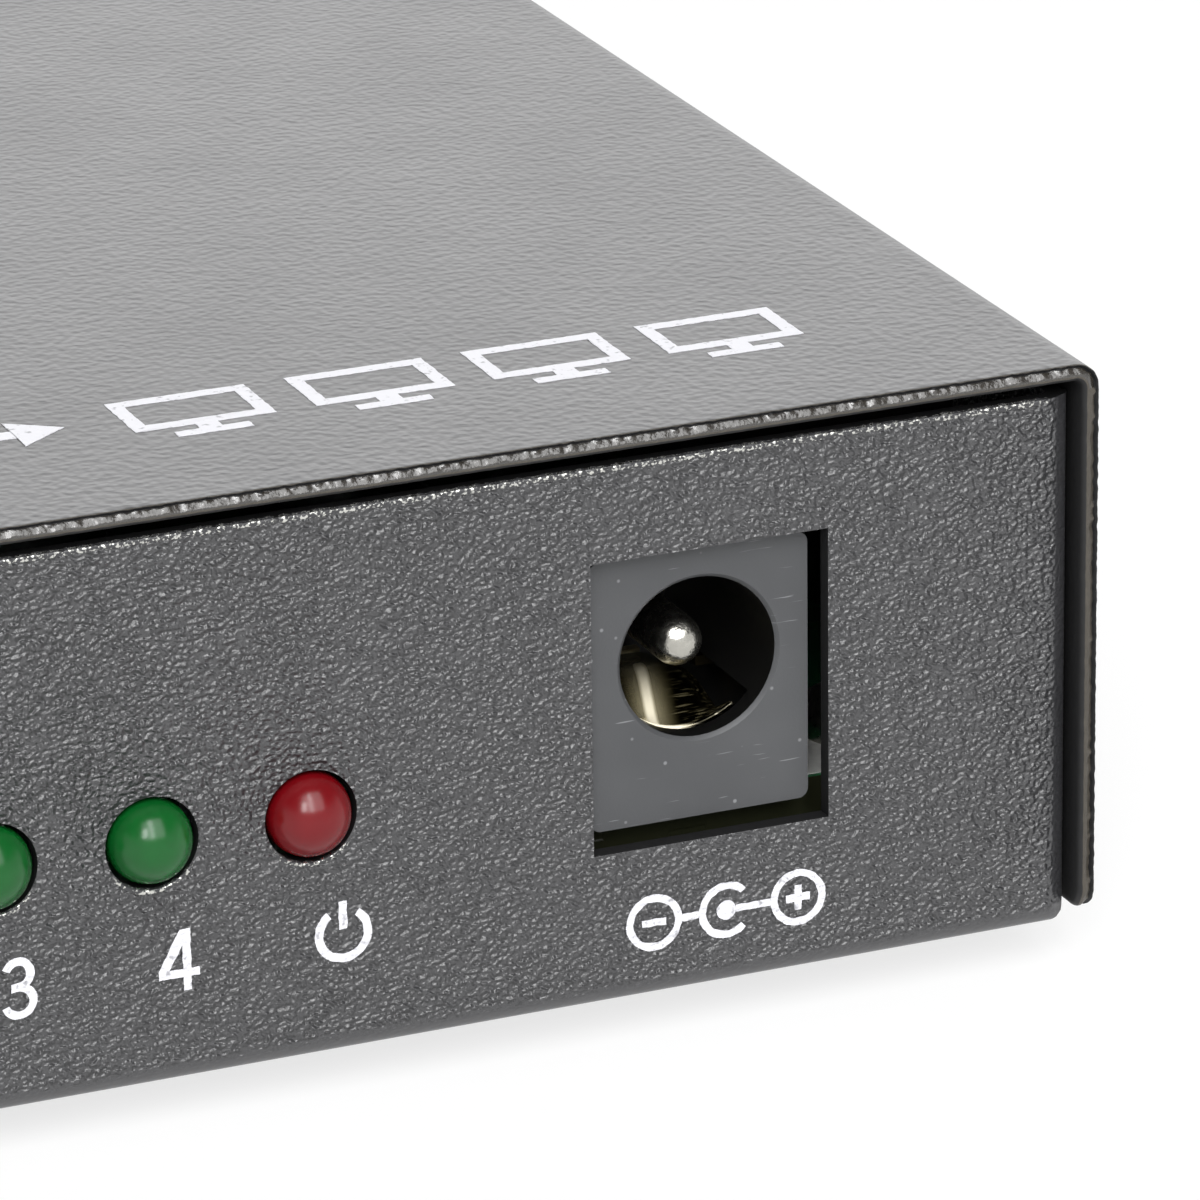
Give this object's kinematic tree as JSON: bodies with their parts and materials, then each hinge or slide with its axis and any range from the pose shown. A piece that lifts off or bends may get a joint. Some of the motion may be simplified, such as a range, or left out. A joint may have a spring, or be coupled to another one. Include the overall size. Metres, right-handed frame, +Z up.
{
  "type": "hdmi splitter",
  "caption": "Low folded-steel box with a video input socket, a row of small lamps and a DC jack in front and a row of video output sockets behind, on rubber feet.",
  "frame": {"origin": "on the standing surface under the middle of the case", "axes": "+X to the right along the front panel, +Y from the front panel to the rear panel, +Z up"},
  "size_m": [0.1226, 0.0656, 0.025],
  "materials": {
    "powder_coated_steel": "dark grey powder coat with a fine wrinkle",
    "black_screws": "black oxide",
    "rubber": "matt black rubber",
    "circuit_board": "green solder mask on glass epoxy",
    "plated_steel": "nickel plate",
    "socket_shell": "nickel-plated pressed steel",
    "black_plastic": "moulded black plastic",
    "gold_contacts": "gold-flashed copper alloy",
    "jack_plastic": "satin moulded plastic",
    "jack_metal": "nickel-plated brass",
    "contact_brass": "nickel-washed spring brass",
    "green_lens": "tinted diffusing epoxy",
    "red_lens": "tinted diffusing epoxy",
    "tinned_leads": "tinned copper alloy",
    "crystal_can": "nickel-plated can",
    "ferrite": "dark ferrite",
    "aluminium_cans": "bare aluminium can",
    "ceramic": "fired ceramic with tinned ends"
  },
  "bodies": {
    "splitter": {"top_cover": "powder_coated_steel", "base_chassis": "powder_coated_steel", "cover_screws": "black_screws", "rubber_foot_1": "rubber", "rubber_foot_2": "rubber", "rubber_foot_3": "rubber", "rubber_foot_4": "rubber", "main_board": "circuit_board", "board_standoffs": "plated_steel", "board_screws": "plated_steel", "input_shell": "socket_shell", "output_shell_1": "socket_shell", "output_shell_2": "socket_shell", "output_shell_3": "socket_shell", "output_shell_4": "socket_shell", "input_insert": "black_plastic", "output_insert_1": "black_plastic", "output_insert_2": "black_plastic", "output_insert_3": "black_plastic", "output_insert_4": "black_plastic", "splitter_chip": "black_plastic", "control_chip": "black_plastic", "voltage_regulator": "black_plastic", "capacitor_bases": "black_plastic", "input_contacts": "gold_contacts", "output_contacts_1": "gold_contacts", "output_contacts_2": "gold_contacts", "output_contacts_3": "gold_contacts", "output_contacts_4": "gold_contacts", "jack_housing": "jack_plastic", "jack_centre_pin": "jack_metal", "jack_pin_terminal": "jack_metal", "jack_leaf_terminal": "contact_brass", "jack_switch_terminal": "contact_brass", "output_led_1": "green_lens", "output_led_2": "green_lens", "output_led_3": "green_lens", "output_led_4": "green_lens", "power_led": "red_lens", "led_leads": "tinned_leads", "splitter_chip_leads": "tinned_leads", "control_chip_leads": "tinned_leads", "regulator_leads": "tinned_leads", "clock_crystal": "crystal_can", "power_inductor": "ferrite", "capacitor_cans": "aluminium_cans", "chip_capacitors": "ceramic"},
    "contact_leaf": {"jack_contact_leaf": "contact_brass"}
  },
  "joints": [
    {"name": "contact_flex", "type": "hinge", "parent": "splitter", "child": "contact_leaf", "pos_m": [0.04392, -0.0222, 0.01197], "axis": [1, 0, 0], "range_deg": [0, 6], "stiffness_Nm_per_rad": 0.04}
  ]
}
